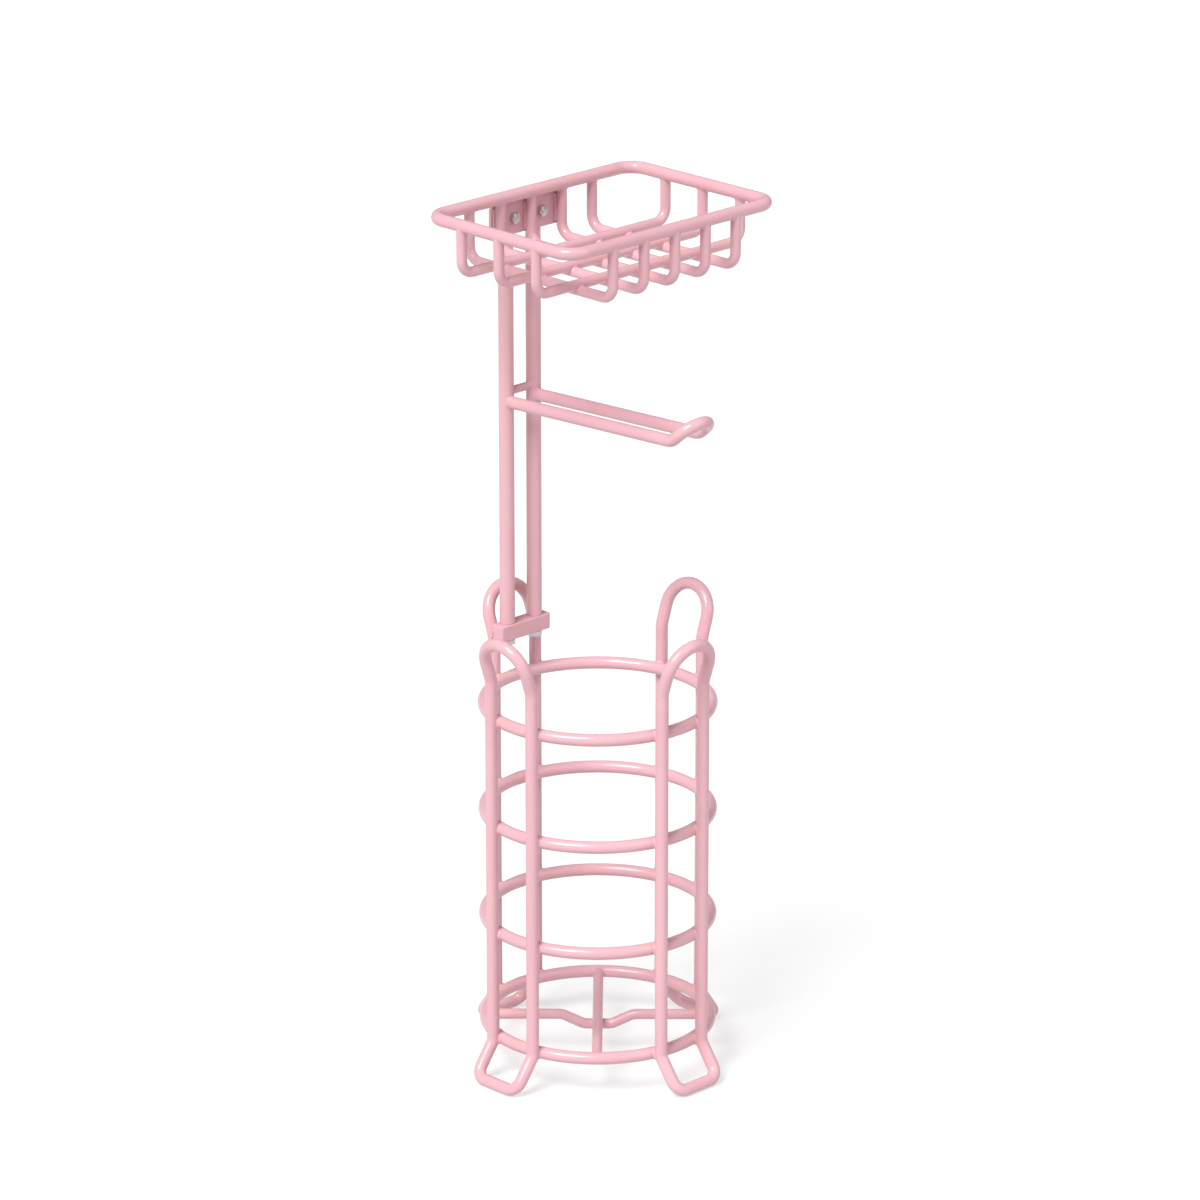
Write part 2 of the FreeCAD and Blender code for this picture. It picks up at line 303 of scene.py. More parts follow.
over = floor_wire(over_way, [(ring_radius, floor_height, 0)])
under = floor_wire(under_way, [(ring_radius, floor_height, 0), (dip_run / 2, floor_height, dip_radius),
                               (dip_flat / 2, dip_height, dip_radius)])
takes_place_of("floor_wire_over", skin("floor_wire_over_painted", [over]))
takes_place_of("floor_wire_under", skin("floor_wire_under_painted", [under]))
print("floor wires at", round(floor_height, 4), "and", round(dip_height, 5), "m")

# %% [markdown]
# ## Turned shapes
# Posts, caps, screws and nuts are all round their own axis, as if from a lathe. A turned shape is a
# radius and a height for each row, and both may also change with the angle: that is enough for a hexagon
# socket or a screw thread. The lathe's axis can point anywhere, so one function serves the upright posts
# and the level bolts.

# %% Turned shapes
round_sides = 72
around_angle = np.linspace(0, 2 * math.pi, round_sides, endpoint=False)[None, :]


def turned(radius, height, foot, axis):
    """Lathe skin: foot + height axis + radius (cos a across + sin a around), for each row and angle a."""
    across = unit(np.cross(axis, np.roll(axis, 1)))
    around = np.cross(axis, across)
    radius, height = np.broadcast_arrays(radius, height, around_angle)[:2]
    spoke = np.cos(around_angle)[..., None] * across + np.sin(around_angle)[..., None] * around
    return foot + height[..., None] * axis + radius[..., None] * spoke


def profile(*pairs):
    """A profile written as pairs of radius and height, as two columns of numbers."""
    return np.array(pairs).T[..., None]


def hexagon(flat_r):
    """Distance from a hexagon's middle to its edge: flat_r / cos of the angle from the nearest flat."""
    return flat_r / np.cos(around_angle % (math.pi / 3) - math.pi / 6)


print("a hexagon of 1 reaches", round(float(hexagon(1).max()), 4), "at its corners")

# %% [markdown]
# ## Posts
# The posts are two straight tubes. Their lower ends stand on the bracket and their upper ends are capped.
# The wall shows only at the ends, but a tube with a bore casts its own dark line there, so the profile
# goes up the outside, over the rim, down the bore and back, with a small round on the cut edges.

# %% Posts
post_wall = 0.0012
cut_round = 0.0003
post_nodes = ["post_left", "post_right"]
post_r = (high("post_left", "x") - low("post_left", "x")) / 2
post_x = high("post_right", "x") - post_r
post_y = middle("post_left", "y")
post_foot, post_top = low("post_left", "z"), high("post_left", "z")
bore_r = post_r - post_wall
half_spacing = post_x

radius, height = profile(
    (post_r - cut_round, post_foot), (post_r, post_foot + cut_round), (post_r, post_top - cut_round),
    (post_r - cut_round, post_top), (bore_r, post_top), (bore_r, post_foot))
for node in post_nodes:
    tube = turned(radius, height, middle(node, "x") * RIGHT + post_y * BACK, UP)
    takes_place_of(node, skin(node + "_painted", [tube], ring=True))
print("posts: radius", round(post_r, 5), "from", round(post_foot, 4), "to", round(post_top, 4))

# %% [markdown]
# ## Roll arm and crossbar
# The arm is one wire bent to a hairpin. It climbs a little from the posts and its round end turns up, so
# a roll slides on easily and does not slide off. The tip's place is read from the frame, and we work back
# from it through the bend to the posts. A thin bar ties the posts together just above the arm.

# %% Arm and crossbar
arm_slope = math.radians(2.5)
tip_rise = math.radians(42)
arm_radius = 0.012
tip_straight = 0.0024
tip_length = arm_radius * math.tan((tip_rise - arm_slope) / 2) + tip_straight + half_spacing
tip_y = low("roll_arm", "y") + frame_r
tip_z = high("roll_arm", "z") - frame_r
bend_y = tip_y + tip_length * math.cos(tip_rise)
bend_z = tip_z - tip_length * math.sin(tip_rise)
arm_z = bend_z - (post_y - bend_y) * math.tan(arm_slope)
crossbar_z = middle("arm_crossbar", "z")

half = [(post_y, arm_z, 0), (bend_y, bend_z, arm_radius), (tip_y, tip_z, half_spacing)]
corners = [(-half_spacing, y, z) for y, z, _ in half] + [(half_spacing, y, z) for y, z, _ in half[::-1]]
arm = round_bar(bent_line(corners, [radius for _, _, radius in half + half[::-1]]), UP, frame_r)
crossbar_ends = [(-half_spacing, post_y, crossbar_z), (half_spacing, post_y, crossbar_z)]
crossbar = round_bar(bent_line(crossbar_ends, [0, 0]), UP, crossbar_r)
takes_place_of("roll_arm", skin("roll_arm_painted", [arm]))
takes_place_of("arm_crossbar", skin("arm_crossbar_painted", [crossbar]))
print("arm leaves the posts at", round(arm_z, 4), "and bends up at", round(bend_z, 4))

# %% [markdown]
# ## Tray
# The rim is a wire rectangle with round corners. Three long wires and, one wire lower, five cross wires
# hang under it like letters U, with their outer faces flush with the rim. Each wire's own box gives its
# place and its depth, so one function makes all eight.

# %% Tray rim and its hanging wires
rim_radius = 0.014
tray_radius = 0.010
rim_z = middle("tray_rim", "z")
rim_right = high("tray_rim", "x") - frame_r
rim_front, rim_back = low("tray_rim", "y") + frame_r, high("tray_rim", "y") - frame_r

corners = [(-rim_right, rim_front, rim_z), (rim_right, rim_front, rim_z),
           (rim_right, rim_back, rim_z), (-rim_right, rim_back, rim_z)]
rim = round_bar(bent_line(corners, [rim_radius] * 4, closed=True), UP, frame_r)
takes_place_of("tray_rim", skin("tray_rim_painted", [rim], ring=True))


def hanging_wire(node, along, across):
    """U of two legs and a flat: along and across name the axes, and the box gives the ends and the depth."""
    way, side = np.eye(3)["xyz".index(along)], np.eye(3)["xyz".index(across)]
    ends = [low(node, along) + light_r, high(node, along) - light_r]
    flat_z = low(node, "z") + light_r
    corners = [ends[0] * way + rim_z * UP, ends[0] * way + flat_z * UP, ends[1] * way + flat_z * UP,
               ends[1] * way + rim_z * UP]
    line, ways = bent_line(corners, [0, tray_radius, tray_radius, 0])
    return round_bar((line + middle(node, across) * side, ways), side, light_r)


long_wires = ["tray_long_wire_front", "tray_long_wire_middle", "tray_long_wire_back"]
cross_wires = ["tray_cross_wire_" + str(i + 1) for i in range(5)]
for node in long_wires:
    takes_place_of(node, skin(node + "_painted", [hanging_wire(node, "x", "y")]))
for node in cross_wires:
    takes_place_of(node, skin(node + "_painted", [hanging_wire(node, "y", "x")]))
print("tray rim", round(2 * rim_right, 4), "by", round(rim_back - rim_front, 4), "m")

# %% [markdown]
# ## Bracket and mounting plate
# The posts stand on a short square bar, and the tray hangs on a flat plate. Both are cut from bar, and
# the paint rounds their edges. A rounded plate is an outline that shrinks as it climbs: the outline's
# corners and the plate's edge are both quarter circles. The flat faces keep their own direction through a
# Weighted Normal modifier.

# %% Rounded bar and plate
edge_steps = 7
quarter_turn = np.linspace(0, math.pi / 2, edge_steps)


def rounded_plate(node, face_axis, corner, edge):
    """Outline: half sizes less the corner, plus (corner - inset)(cos a, sin a). Over the edge the inset goes
    as edge (1 - cos w) and the height as edge sin w, from the lower face to the upper one."""
    n = "xyz".index(face_axis)
    axes = np.roll(np.eye(3), -n - 1, axis=0)
    lo, hi = (np.array(end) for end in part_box(node))
    size = np.roll((hi - lo) / 2, -n - 1)
    w = np.concatenate([quarter_turn - math.pi / 2, quarter_turn])[:, None]
    inset = edge * (1 - np.cos(w))
    face = np.repeat([-1.0, 1.0], edge_steps)[:, None]
    height = np.sin(w) * edge + face * (size[2] - edge)
    a = (np.arange(4)[:, None] * math.pi / 2 + quarter_turn).ravel()[None, :]
    sign = np.repeat([[1, 1], [-1, 1], [-1, -1], [1, -1]], edge_steps, axis=0).T[:, None]
    u = sign[0] * (size[0] - corner) + (corner - inset) * np.cos(a)
    v = sign[1] * (size[1] - corner) + (corner - inset) * np.sin(a)
    return (lo + hi) / 2 + np.stack([u, v, height + 0 * a], axis=-1) @ axes


plates = [("post_bracket", "z", 0.0022, 0.0012), ("tray_mount_plate", "y", 0.003, 0.0007)]
for node, face_axis, corner, edge in plates:
    plate = skin(node + "_painted", [rounded_plate(node, face_axis, corner, edge)])
    plate.modifiers.new("flat_faces", "WEIGHTED_NORMAL")
    takes_place_of(node, plate)
bracket_lo, bracket_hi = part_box("post_bracket")
plate_lo, plate_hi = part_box("tray_mount_plate")

# %% [markdown]
# ## Fasteners
# Two socket screws come up through the bracket into the posts, and two slotted bolts with nuts hold the
# tray. A thread is a radius that falls and rises once per pitch along the axis, and starts a little later
# for each step round it, so its ridge climbs as a helix. A nut's chamfer is a cone that takes only the
# hexagon's corners.

# %% Screws, bolts and nuts
thread_rows = 6
thread_depth_share = 0.6


def thread(radius, pitch, start, end):
    """Rows of a thread: radius - depth |2 p - 1|, where p is height / pitch - angle / turn without its
    whole number."""
    count = int(abs(end - start) / pitch * thread_rows)
    height = np.linspace(start, end, count)[:, None]
    phase = (height / pitch - around_angle / (2 * math.pi)) % 1
    depth = thread_depth_share * pitch
    return radius - depth * np.abs(2 * phase - 1), height + 0 * around_angle


def stacked(*blocks):
    """Rows of several profiles on top of each other, each spread to all angles."""
    full = [np.broadcast_arrays(radius, height, around_angle)[:2] for radius, height in blocks]
    return np.concatenate([f[0] for f in full]), np.concatenate([f[1] for f in full])


screw_r, screw_pitch = 0.003, 0.001
head_r = high("post_screws", "x") - post_x
head_height = bracket_lo.z - low("post_screws", "z")
screw_length = high("post_screws", "z") - bracket_lo.z
socket_r, socket_depth = 0.002, 0.0024
chamfer = 0.0004
screw_tip = profile((screw_r / 2, -screw_length), (screw_r - screw_pitch / 2, chamfer - screw_length))
head = profile((screw_r, 0), (head_r - chamfer, 0), (head_r, chamfer), (head_r, head_height - 2 * chamfer),
               (head_r - chamfer / 2, head_height - chamfer / 2), (head_r - 2 * chamfer, head_height))
socket = (np.concatenate([hexagon(socket_r + chamfer / 2), hexagon(socket_r), hexagon(socket_r)]),
          profile((0, head_height), (0, head_height - chamfer / 2), (0, head_height - socket_depth))[1])
screw = stacked(screw_tip, thread(screw_r, screw_pitch, chamfer - screw_length, 0), head, socket)
screws = [turned(*screw, x * RIGHT + post_y * BACK + bracket_lo.z * UP, -UP) for x in (-post_x, post_x)]
takes_place_of("post_screws", skin("post_screws_plated", screws))

nut_r = (high("tray_nuts", "z") - low("tray_nuts", "z")) / 2
nut_height = high("tray_nuts", "y") - low("tray_nuts", "y")
bolt_r, bolt_pitch = 0.002, 0.0007
bolt_z = middle("tray_nuts", "z")
lift = (hexagon(nut_r) - nut_r) * math.tan(math.pi / 6)
level = 0 * lift
nut_half = [level + bolt_r, level + nut_r, hexagon(nut_r)]
nut_rise = [level, level, lift]
nut = (np.concatenate(nut_half + nut_half[::-1]),
       np.concatenate(nut_rise + [nut_height - rise for rise in nut_rise[::-1]]))
nuts = [turned(*nut, x * RIGHT + plate_lo.y * BACK + bolt_z * UP, -BACK) for x in (-post_x, post_x)]
takes_place_of("tray_nuts", skin("tray_nuts_plated", nuts, ring=True))

# %% [markdown]
# ## Slotted bolt heads
# A slot is straight, so a round grid would cut its walls into steps. We lay this grid as a loaf is sliced
# instead: each row is one slice across the head, as wide as the circle is there, and the slices at the
# slot are lower. Two slices almost at the same place make the slot's upright wall.

# %% Bolts
bolt_head_r = (high("tray_bolts", "z") - low("tray_bolts", "z")) / 2
bolt_head_height = high("tray_bolts", "y") - post_y - post_r
bolt_length = post_y + post_r - low("tray_bolts", "y")
slot_width, slot_depth = 0.0012, 0.0012
slices = 25
head_fall = 0.55
last_slice = math.radians(87)


def slotted_head(foot, axis, along_slot):
    """Pan head: height H (1 - fall (r / R)^8) over the circle, cut down to the slot's floor inside it."""
    half_slot = slot_width / 2
    outer = np.sin(np.linspace(math.asin(half_slot / bolt_head_r), last_slice, slices)) * bolt_head_r
    wall = np.array([half_slot, half_slot - tiny * 50])
    right = np.concatenate([[0], wall[::-1], outer[1:]])
    across = np.concatenate([-right[:0:-1], right])[:, None]
    chord = np.sqrt(bolt_head_r ** 2 - across ** 2)
    share = np.sin(np.linspace(-math.pi / 2, math.pi / 2, slices))
    along = np.concatenate([[-1], share, [1]])[None, :] * chord
    top = bolt_head_height * (1 - head_fall * (np.hypot(along, across) / bolt_head_r) ** 8)
    in_slot = np.abs(across) < half_slot - tiny
    top = np.where(in_slot, np.minimum(top, bolt_head_height - slot_depth), top)
    top[:, [0, -1]] = 0
    place = np.stack([along, across + 0 * along, top], axis=-1)
    return foot + place @ np.stack([along_slot, np.cross(axis, along_slot), axis])


shank = stacked(profile((bolt_r / 2, -bolt_length), (bolt_r - bolt_pitch / 2, chamfer - bolt_length)),
                thread(bolt_r, bolt_pitch, chamfer - bolt_length, 0))
bolts = []
for x in (-post_x, post_x):
    seat = x * RIGHT + (post_y + post_r) * BACK + bolt_z * UP
    bolts += [slotted_head(seat, BACK, RIGHT), turned(*shank, seat, BACK)]
takes_place_of("tray_bolts", skin("tray_bolts_plated", bolts))

# %% [markdown]
# ## End caps
# A moulded cap closes each post. Its stem sits in the bore and its head is a shallow dome as wide as the
# post, with the small dimple that the mould's gate leaves. The dome is an arc of a circle through the
# post's edge and the cap's top.

# %% Caps
cap_clearance = 0.00005
stem_r = bore_r - cap_clearance
cap_foot, cap_top = low("post_end_caps", "z"), high("post_end_caps", "z")
cap_height = cap_top - post_top
dome_r = (post_r ** 2 + cap_height ** 2) / (2 * cap_height)
gate_r, gate_depth = 0.0008, 0.0002
dome_rows = 24
r = np.linspace(post_r, gate_r / 4, dome_rows)[:, None]
dome = (r, cap_top - dome_r + np.sqrt(dome_r ** 2 - r ** 2) - gate_depth * np.exp(-(r / gate_r) ** 4))
stem = profile((stem_r - cut_round, cap_foot), (stem_r, cap_foot + cut_round), (stem_r, post_top),
               (post_r - cut_round, post_top))
caps = [turned(*stacked(stem, dome), x * RIGHT + post_y * BACK, UP) for x in (-post_x, post_x)]
takes_place_of("post_end_caps", skin("post_end_caps_moulded", caps))
print("caps:", round(cap_height, 4), "m high, dome radius", round(dome_r, 4))

# %% [markdown]
# ## Welds where wires cross
# A spot welder presses crossed wires into each other while they are hot, so they look grown together, and
# the paint rounds the corner between them. That round is what a small ball leaves when it rolls along the
# corner and touches both wires. The ball's middle keeps the same distance from both axes, which gives its
# path as a formula, and an arc from one wire to the other at each place gives the skin. A boolean with a
# bevel would be slower and rougher.

# %% Rounded corner between two crossed wires
fillet_r = 0.0013
fillet_sink = 0.00003
fillet_steps = 9
core_share = 0.3
weld_points = []


def neck(point, normal, along, bar_r, apart, lower_bend=math.inf, upper_bend=math.inf):
    """Corner round two crossed bars, with u along the lower one, v along the upper one and their axes
    apart. The ball's middle: z = (s - apart / 2) cos 2a, u^2 = s^2 - (z - apart / 2)^2 and
    v^2 = s^2 - (z + apart / 2)^2, where s is the bar's and the ball's radius together. Bars that are bent
    fall away as u^2 / 2 bend and v^2 / 2 bend."""
    s = bar_r + fillet_r
    a = np.linspace(0, 2 * math.pi, wire_sides, endpoint=False)
    z = (s - apart / 2) * np.cos(2 * a)
    u = np.sign(np.cos(a)) * np.sqrt(np.maximum(s ** 2 - (z - apart / 2) ** 2, 0))
    v = np.sign(np.sin(a)) * np.sqrt(np.maximum(s ** 2 - (z + apart / 2) ** 2, 0))
    to_lower = np.stack([0 * a, -v, -apart / 2 - z], axis=-1) / s
    to_upper = np.stack([-u, 0 * a, apart / 2 - z], axis=-1) / s
    turn = np.arccos(np.sum(to_lower * to_upper, axis=-1))[:, None]
    share = np.linspace(0, 1, fillet_steps)[:, None, None]
    swing = (np.sin((1 - share) * turn) * to_lower + np.sin(share * turn) * to_upper) / np.sin(turn)
    sheet = np.stack([u, v, z], axis=-1) + (fillet_r + fillet_sink) * swing
    sheet[..., 2] += (share * v[:, None] ** 2 / (2 * upper_bend))[..., 0]
    sheet[..., 2] -= ((1 - share) * u[:, None] ** 2 / (2 * lower_bend))[..., 0]
    core = np.array([0, 0, apart / 2])
    inside = [sheet[:1] + core_share * (-core - sheet[:1]), sheet[-1:] + core_share * (core - sheet[-1:])]
    sheet = np.concatenate([inside[0], sheet, inside[1]])
    weld_points.append(point)
    return point + sheet @ np.stack([along, np.cross(normal, along), normal])


floor_crossing = (floor_height + dip_height) / 2 * UP
basket_necks = [neck(floor_crossing, UP, under_way, light_r, floor_height - dip_height)]
print("the ball is", 2 * fillet_r, "m across")

# %% [markdown]
# ## Crossings of the basket and the tray
# Every hoop crosses eight rods and every long tray wire crosses five others. At the bottom hoop the rods
# already bend outwards into the legs, so the crossing there tilts: the shortest line from the hoop's axis
# to the bend's arc gives the tilt and the distance, because it points at the arc's middle.

# %% Crossings
leg_turn = math.atan2(foot_reach - rod_plane, leg_height - frame_r)
leg_arc_top = leg_height + leg_radius * math.tan(leg_turn / 2)
rod_reach = math.hypot(rod_plane, half_width)
for side in range(4):
    for x in (-half_width, half_width):
        angle = side * math.pi / 2 + math.atan2(x, rod_plane)
        outward = math.sin(angle) * RIGHT - math.cos(angle) * BACK
        for z in ring_heights:
            bent = max(leg_arc_top - z, 0.0)
            to_arc = (rod_reach - ring_radius + leg_radius) * outward + bent * UP
            apart = np.linalg.norm(to_arc) - leg_radius
            point = ring_radius * outward + z * UP + unit(to_arc) * apart / 2
            basket_necks.append(neck(point, unit(to_arc), np.cross(UP, outward), frame_r, apart,
                                     ring_radius + frame_r, leg_radius if bent else math.inf))

tray_necks = []
long_z = low("tray_long_wire_middle", "z") + light_r
cross_z = low("tray_cross_wire_3", "z") + light_r
for long_wire in long_wires:
    for cross_wire in cross_wires:
        point = np.array([middle(cross_wire, "x"), middle(long_wire, "y"), (long_z + cross_z) / 2])
        tray_necks.append(neck(point, UP, BACK, light_r, long_z - cross_z))
print(len(basket_necks), "crossings in the basket and", len(tray_necks), "in the tray")

# %% [markdown]
# ## Welds where a wire ends on another
# The tray's legs, the floor wires, the arm and the crossbar end square on a thicker bar. The weld there
# is a collar: a hollow quarter circle from the wire's side to the bar's side. The bar is round, so the
# collar has to follow its surface, and where the wire is flush with the bar's side there is no room for a
# collar and it fades out.

# %% Collars at the ends
collar_size = 0.0014
room_share = 0.97
tuck_in, tuck_under = 0.8, 0.7


def collar(point, way, across, wire_r, bar_r, offset=0.0):
    """Collar round a wire that leaves a bar along way. At angle w from 0 to 90 degrees: distance wire_r +
    size (1 - cos w), height over the bar size (1 - sin w). The bar's surface is sqrt(bar_r^2 - s^2), where
    s is the distance from the bar's middle, offset included. The size shrinks to the bar's room."""
    w = np.linspace(0, math.pi / 2, fillet_steps)[:, None]
    a = np.linspace(0, 2 * math.pi, wire_sides, endpoint=False)[None, :]
    room = (room_share * bar_r - offset * np.sign(np.cos(a))) / np.maximum(np.abs(np.cos(a)), 0.01) - wire_r
    size = np.clip(room, tiny * 100, collar_size)
    distance = wire_r + size * (1 - np.cos(w))
    above = size * (1 - np.sin(w))
    distance = np.concatenate([distance[:1] * tuck_in, distance, distance[-1:] * tuck_under])
    above = np.concatenate([above[:1], above, above[-1:] - bar_r / 3])
    s = np.clip(offset + distance * np.cos(a), -bar_r, bar_r)
    height = np.sqrt(bar_r ** 2 - s ** 2) + above
    u, v = distance * np.cos(a), distance * np.sin(a)
    weld_points.append(point + way * bar_r)
    return (point + (offset + u)[..., None] * across + v[..., None] * np.cross(across, way)
            + height[..., None] * way)


tray_collars = []
for node in long_wires:
    for x in (-1, 1):
        point = np.array([x * rim_right, middle(node, "y"), rim_z])
        tray_collars.append(collar(point, -UP, x * RIGHT, light_r, frame_r, frame_r - light_r))
for node in cross_wires:
    for y, out in ((rim_front, -BACK), (rim_back, BACK)):
        point = np.array([middle(node, "x"), y, rim_z])
        tray_collars.append(collar(point, -UP, out, light_r, frame_r, frame_r - light_r))
floor_collars = []
for way in (over_way, -over_way, under_way, -under_way):
    floor_collars.append(collar(ring_radius * way + floor_height * UP, -way, UP, light_r, frame_r))
post_collars = []
for x in (-1, 1):
    post = x * post_x * RIGHT + post_y * BACK
    post_collars.append(collar(post + arm_z * UP, -BACK, x * RIGHT, frame_r, post_r))
    post_collars.append(collar(post + crossbar_z * UP, -x * RIGHT, BACK, crossbar_r, post_r))
print(len(tray_collars), "collars under the rim,", len(floor_collars), "in the basket,",
      len(post_collars), "on the posts")

# %% [markdown]
# ## Weld beads on bracket and plate
# The bracket's back corners are welded to the back upright's rods, and the plate to three of the tray's
# legs. These are short beads, laid by hand, so their skin is a thin bar with round ends and faint
# ripples, half sunk in the corner.

# %% Beads
bead_r = 0.0013
bead_inset = 0.0015
bead_rise = 0.007
leg_share = 0.82
ripple_length = 0.0011
ripple_share = 0.02
bead_rows = 60
last_bead_row = math.radians(88)


def bead(start, end, side):
    """Bar between two points: radius r (1 + ripple cos length) times sqrt(1 - (2 t - 1)^8), t from 0 to 1."""
    run = end - start
    t = np.sin(np.linspace(-1, 1, bead_rows) * last_bead_row) / 2 + 0.5
    ripple = 1 + ripple_share * np.cos(2 * math.pi * t * np.linalg.norm(run) / ripple_length)
    weld_points.append((start + end) / 2)
    line = start + t[:, None] * run
    ways = np.repeat(unit(run)[None], len(t), axis=0)
    return round_bar((line, ways), side, bead_r * ripple * np.sqrt(1 - (2 * t - 1) ** 8))


post_beads = []
for x in (-1, 1):
    depth = rod_plane - bracket_hi.y
    inner = half_width - math.sqrt(frame_r ** 2 - depth ** 2)
    side_depth = math.sqrt(frame_r ** 2 - (bracket_hi.x - half_width) ** 2)
    for place, y in ((inner, bracket_hi.y), (bracket_hi.x, rod_plane - side_depth)):
        foot = x * place * RIGHT + y * BACK
        bottom, top = bracket_lo.z + bead_inset, neck_height + bead_rise
        post_beads.append(bead(foot + bottom * UP, foot + top * UP, BACK))
tray_beads = []
for node in cross_wires[1:4]:
    for x in (-1, 1):
        foot = (middle(node, "x") + x * light_r * leg_share) * RIGHT + (plate_lo.y - bead_r / 2) * BACK
        bottom, top = plate_lo.z + bead_inset, plate_hi.z - bead_inset
        tray_beads.append(bead(foot + bottom * UP, foot + top * UP, BACK))

painted_slot = slot_of["ring_top"]
weld_sheets = {
    "basket_welds_painted": basket_necks + floor_collars,
    "post_welds_painted": post_collars + post_beads,
    "tray_welds_painted": tray_necks + tray_collars + tray_beads,
}
for name, sheets in weld_sheets.items():
    welds = skin(name, sheets)
    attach(welds, "root")
    finished.append((welds, painted_slot))

# %% [markdown]
# ## Painted shade near the welds
# Powder is drawn to the part by static charge, and little of it gets into tight corners, so the coat
# there is thinner. Little light reaches those corners, so near each weld the colour is made a shade deeper:
# this is painted shade, together with the thinner coat. We can't paint that by hand on every crossing, but
# we know where each weld is. An attribute on each point holds how near the nearest weld is, and the paint
# reads it as painted shade.

# %% Nearness to the welds, kept for the painted shade
weld_reach = 0.007
welds_at = np.array(weld_points)
for piece, _ in finished:
    places = np.empty(len(piece.data.vertices) * 3)
    piece.data.vertices.foreach_get("co", places)
    gap = np.linalg.norm(places.reshape(-1, 1, 3) - welds_at, axis=2).min(axis=1)
    # each point's nearness to a weld, which the paint turns into painted shade
    near = piece.data.attributes.new("painted_weld_shade", "FLOAT", "POINT")
    near.data.foreach_set("value", np.exp(-(gap / weld_reach) ** 2).astype(np.float32))
print(len(welds_at), "welds marked on", len(finished), "pieces")

# %% [markdown]
# ## Finishes
# All the finishes share two traits: a fine grain that breaks up reflections, and a slow change from place
# to place, as no coat is even. Both are noise at different sizes, so one node group makes them and each
# finish sets its own sizes. It reads object coordinates, which are metres on this stand, so the grain has
# a true size and runs on across pieces.

# %% Grain shared by all finishes
def coat_texture():
    """Group: grain height from two sizes of noise, and a slow unevenness from 0 to 1."""
    group = bpy.data.node_groups.new("coat_texture", "ShaderNodeTree")
    sockets = [("Place", "NodeSocketVector", "INPUT"), ("Grain per metre", "NodeSocketFloat", "INPUT"),
               ("Patches per metre", "NodeSocketFloat", "INPUT"), ("Grain", "NodeSocketFloat", "OUTPUT"),
               ("Patches", "NodeSocketFloat", "OUTPUT")]
    for name, kind, way in sockets:
        group.interface.new_socket(name, in_out=way, socket_type=kind)
    nodes, link = group.nodes, group.links.new
    inside, outside = nodes.new("NodeGroupInput"), nodes.new("NodeGroupOutput")
    for wanted, scale, detail in (("Grain", "Grain per metre", 2.0), ("Patches", "Patches per metre", 3.0)):
        noise = nodes.new("ShaderNodeTexNoise")
        noise.inputs["Detail"].default_value = detail
        noise.inputs["Roughness"].default_value = 0.45
        link(inside.outputs["Place"], noise.inputs["Vector"])
        link(inside.outputs[scale], noise.inputs["Scale"])
        link(noise.outputs["Fac"], outside.inputs[wanted])
    return group


texture_group = coat_texture()
print("shared group:", texture_group.name)

# %% [markdown]
# ## Pink powder coat
# The powder melts to a thick, slightly wavy skin with a satin shine: this is orange peel, about a
# millimetre across. A plain pink would look like plastic, so the colour drifts a little, and the roughness
# drifts with it. Near the welds every finish is made a shade deeper, as painted shade. The zinc on the
# fasteners is a bare metal with cloudy patches, and the caps are moulded, a shade duller.

# %% Materials
# how far towards the deeper colour the painted shade at a weld goes
painted_shade_strength = 0.12


def finish(name, colours, roughness, metallic, grain, patches, bump):
    """Principled material: colour and roughness follow the patches, the colour also takes painted shade near
    the welds, and the normal follows the grain.
    """
    material = bpy.data.materials.new(name)
    material.use_nodes = True
    nodes, link = material.node_tree.nodes, material.node_tree.links.new
    shader = nodes["Principled BSDF"]
    shader.inputs["Metallic"].default_value = metallic
    place = nodes.new("ShaderNodeTexCoord")
    texture = nodes.new("ShaderNodeGroup")
    texture.node_tree = texture_group
    texture.inputs["Grain per metre"].default_value = grain
    texture.inputs["Patches per metre"].default_value = patches
    link(place.outputs["Object"], texture.inputs["Place"])
    # painted shade: the colour moves towards the deeper one near the welds, added to the patches
    near = nodes.new("ShaderNodeAttribute")
    near.attribute_name = "painted_weld_shade"
    deep = nodes.new("ShaderNodeMath")
    deep.operation = "MULTIPLY_ADD"
    deep.inputs[1].default_value = painted_shade_strength
    deep.use_clamp = True
    link(near.outputs["Fac"], deep.inputs[0])
    link(texture.outputs["Patches"], deep.inputs[2])
    colour = nodes.new("ShaderNodeMix")
    colour.data_type = "RGBA"
    colour.inputs["A"].default_value = (*colours[0], 1)
    colour.inputs["B"].default_value = (*colours[1], 1)
    link(deep.outputs[0], colour.inputs["Factor"])
    link(colour.outputs["Result"], shader.inputs["Base Color"])
    rough = nodes.new("ShaderNodeMapRange")
    rough.inputs["To Min"].default_value, rough.inputs["To Max"].default_value = roughness
    link(texture.outputs["Patches"], rough.inputs["Value"])
    link(rough.outputs["Result"], shader.inputs["Roughness"])
    height = nodes.new("ShaderNodeBump")
    height.inputs["Strength"].default_value = 1.0
    height.inputs["Distance"].default_value = bump
    link(texture.outputs["Grain"], height.inputs["Height"])
    link(height.outputs["Normal"], shader.inputs["Normal"])
    print("finish:", name)
    return material


coats = {
    "pink_powder_coat": finish(
        "satin_pink_powder", ((0.72, 0.435, 0.475), (0.675, 0.36, 0.405)), (0.17, 0.25),
        metallic=0.0, grain=700.0, patches=22.0, bump=0.00003),
    "zinc_fasteners": finish(
        "zinc_plating", ((0.74, 0.75, 0.78), (0.60, 0.60, 0.58)), (0.22, 0.48),
        metallic=1.0, grain=2500.0, patches=160.0, bump=0.00001),
    "pink_end_caps": finish(
        "moulded_pink_plastic", ((0.69, 0.37, 0.415), (0.65, 0.335, 0.38)), (0.42, 0.55),
        metallic=0.0, grain=3000.0, patches=60.0, bump=0.00002),
}

